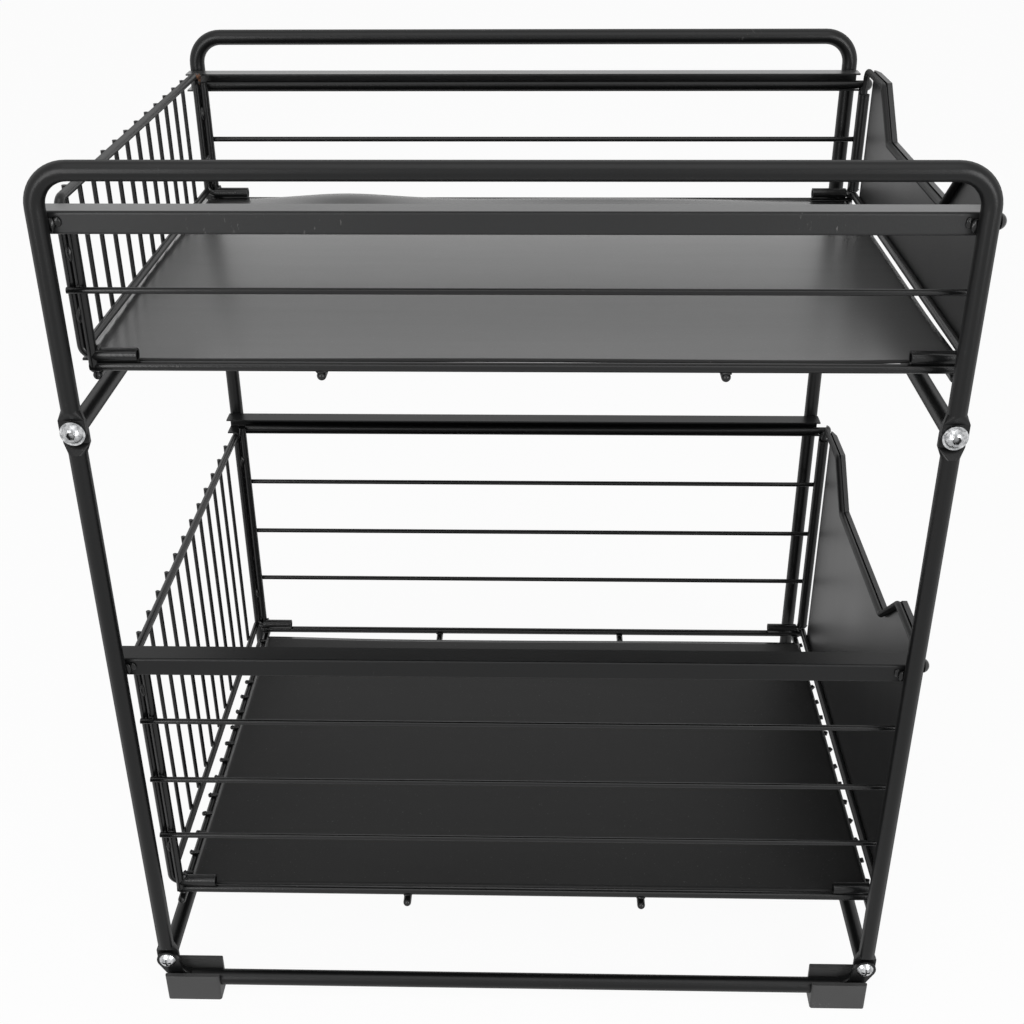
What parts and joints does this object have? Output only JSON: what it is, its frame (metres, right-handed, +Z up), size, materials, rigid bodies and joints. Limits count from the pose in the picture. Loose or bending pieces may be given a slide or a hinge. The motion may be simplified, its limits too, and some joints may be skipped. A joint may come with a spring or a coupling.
{
  "type": "pull out cabinet basket",
  "caption": "Two-tier wire organiser for a cabinet: a bolted tube frame with channel rails and wire baskets that pull out to the front on slide rods.",
  "frame": {"origin": "on the floor, at the middle of the whole object's footprint with the baskets closed", "axes": "+X the way the baskets pull out (front), +Y across to the far side, +Z up"},
  "size_m": [0.4494, 0.3428, 0.524],
  "materials": {
    "black_coat": "satin black powder coat on steel tube, rod and wire",
    "panel_coat": "satin black powder coat on steel sheet",
    "foot_plastic": "matt black moulded plastic",
    "cap_plastic": "black moulded plastic, slightly glossy",
    "mat_sheet": "thin matt charcoal plastic sheet",
    "zinc_plate": "bright zinc plate"
  },
  "bodies": {
    "frame": {"upper_frame_near": "black_coat", "upper_frame_far": "black_coat", "lower_leg_near_back": "black_coat", "lower_leg_near_front": "black_coat", "lower_leg_far_back": "black_coat", "lower_leg_far_front": "black_coat", "mid_cross_tube_back": "black_coat", "mid_cross_tube_front": "black_coat", "base_cross_tube_back": "black_coat", "base_cross_tube_front": "black_coat", "base_tube_near": "black_coat", "base_tube_far": "black_coat", "foot_near_back": "foot_plastic", "foot_near_front": "foot_plastic", "foot_far_back": "foot_plastic", "foot_far_front": "foot_plastic", "upper_rail_near": "black_coat", "upper_rail_far": "black_coat", "lower_rail_near": "black_coat", "lower_rail_far": "black_coat", "mid_bolts": "zinc_plate", "mid_washers": "zinc_plate", "mid_inserts": "zinc_plate", "base_screws": "zinc_plate", "base_inserts": "zinc_plate"},
    "upper_basket": {"upper_slide_rod_near": "black_coat", "upper_slide_rod_far": "black_coat", "upper_side_near": "black_coat", "upper_side_far": "black_coat", "upper_back_loop": "black_coat", "upper_back_wires": "black_coat", "upper_floor_grid": "black_coat", "upper_sill_wire": "black_coat", "upper_panel_sockets": "black_coat", "upper_panel_wire": "black_coat", "upper_panel_sheet": "panel_coat", "upper_rod_caps": "cap_plastic", "upper_mat": "mat_sheet"},
    "lower_basket": {"lower_slide_rod_near": "black_coat", "lower_slide_rod_far": "black_coat", "lower_side_near": "black_coat", "lower_side_far": "black_coat", "lower_back_loop": "black_coat", "lower_back_wires": "black_coat", "lower_floor_grid": "black_coat", "lower_sill_wire": "black_coat", "lower_panel_sockets": "black_coat", "lower_panel_wire": "black_coat", "lower_panel_sheet": "panel_coat", "lower_rod_caps": "cap_plastic", "lower_mat": "mat_sheet"}
  },
  "joints": [
    {"name": "upper_basket_slide", "type": "slide", "parent": "frame", "child": "upper_basket", "axis": [1, 0, 0], "range_m": [0, 0.3]},
    {"name": "lower_basket_slide", "type": "slide", "parent": "frame", "child": "lower_basket", "axis": [1, 0, 0], "range_m": [0, 0.3]}
  ]
}
